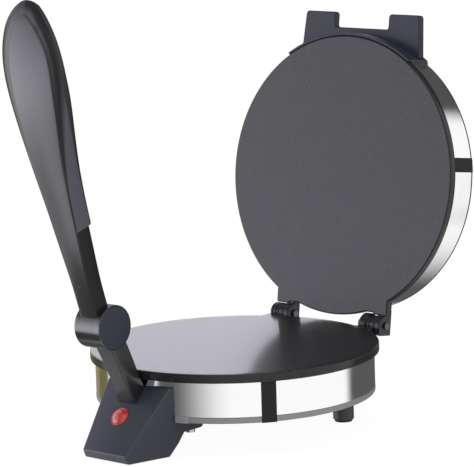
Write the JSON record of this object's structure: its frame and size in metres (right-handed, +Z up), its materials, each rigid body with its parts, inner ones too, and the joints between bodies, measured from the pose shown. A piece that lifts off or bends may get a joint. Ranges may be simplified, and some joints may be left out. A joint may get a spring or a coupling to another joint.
{
  "type": "electric roti maker",
  "caption": "Countertop roti maker with a heated round base, a matching lid on rear hinges, and a long paddle lever that swings back over the closed lid to press it.",
  "frame": {"origin": "centre of the lower plate's cooking face", "axes": "+Z up, out of the cooking face; -Y towards the front housing and the lever; +Y towards the lid's hinges"},
  "size_m": [0.24, 0.42, 0.3728],
  "materials": {
    "plate_coating": "black non-stick coating, semi-gloss, fine orange peel",
    "bright_band": "bright polished steel strip",
    "rolled_ring": "satin grey rolled steel",
    "clip_metal": "satin steel",
    "seam_clip": "satin black",
    "shell_plastic": "dark grey, fine moulded texture, satin",
    "lever_plastic": "dark grey, glossy",
    "grip_plastic": "dark grey, satin",
    "lens_red": "translucent red, polished",
    "lamp_glass": "clear",
    "pad_rubber": "matte black",
    "cover_paint": "satin black paint",
    "pan_steel": "zinc plated sheet",
    "screw_steel": "zinc plated",
    "heater_sheath": "heat-darkened sheath",
    "ceramic_white": "white ceramic and nylon",
    "thermostat_body": "pressed steel cup",
    "clamp_brass": "plain brass",
    "lead_sleeve": "woven glass and silicone sleeve"
  },
  "bodies": {
    "base": {"lower_plate": "plate_coating", "lower_heater": "heater_sheath", "lower_heat_shield": "pan_steel", "lower_shield_screws": "screw_steel", "thermostat": "thermostat_body", "thermal_fuse": "ceramic_white", "base_band": "bright_band", "base_ring": "rolled_ring", "base_pan": "pan_steel", "pan_screws": "screw_steel", "rear_feet": "shell_plastic", "foot_pads": "pad_rubber", "foot_screws": "screw_steel", "base_clip": "seam_clip", "rim_clips": "clip_metal", "front_housing": "shell_plastic", "housing_cover": "shell_plastic", "cover_screws": "screw_steel", "front_pads": "pad_rubber", "housing_screws": "screw_steel", "indicator_lens": "lens_red", "indicator_lamp": "lamp_glass", "cord_grommet": "pad_rubber", "terminal_block": "ceramic_white", "terminal_clamps": "clamp_brass", "heater_leads": "lead_sleeve", "base_cable_bush": "pad_rubber", "lever_post": "shell_plastic", "post_bracket": "pan_steel", "post_bolts": "screw_steel", "bracket_screws": "screw_steel", "pivot_washers": "pan_steel", "hinge_pins": "screw_steel"},
    "lid": {"upper_plate": "plate_coating", "upper_heater": "heater_sheath", "upper_heat_shield": "pan_steel", "upper_shield_screws": "screw_steel", "lid_band": "bright_band", "lid_cover": "cover_paint", "lid_cover_screws": "screw_steel", "lid_clip": "seam_clip", "lid_fork": "shell_plastic", "fork_screws": "screw_steel", "lid_cable_bush": "pad_rubber"},
    "lever": {"lever_arm": "lever_plastic", "grip_pad": "grip_plastic", "grip_screws": "screw_steel", "pivot_pin": "screw_steel", "pivot_caps": "lever_plastic"}
  },
  "joints": [
    {"name": "lid_hinge", "type": "hinge", "parent": "base", "child": "lid", "pos_m": [0, 0.1239, 0.00025], "axis": [1, 0, 0], "range_deg": [0, 98]},
    {"name": "lever_pivot", "type": "hinge", "parent": "base", "child": "lever", "pos_m": [0, -0.1545, 0.0413], "axis": [-1, 0, 0], "range_deg": [0, 104.5]}
  ]
}
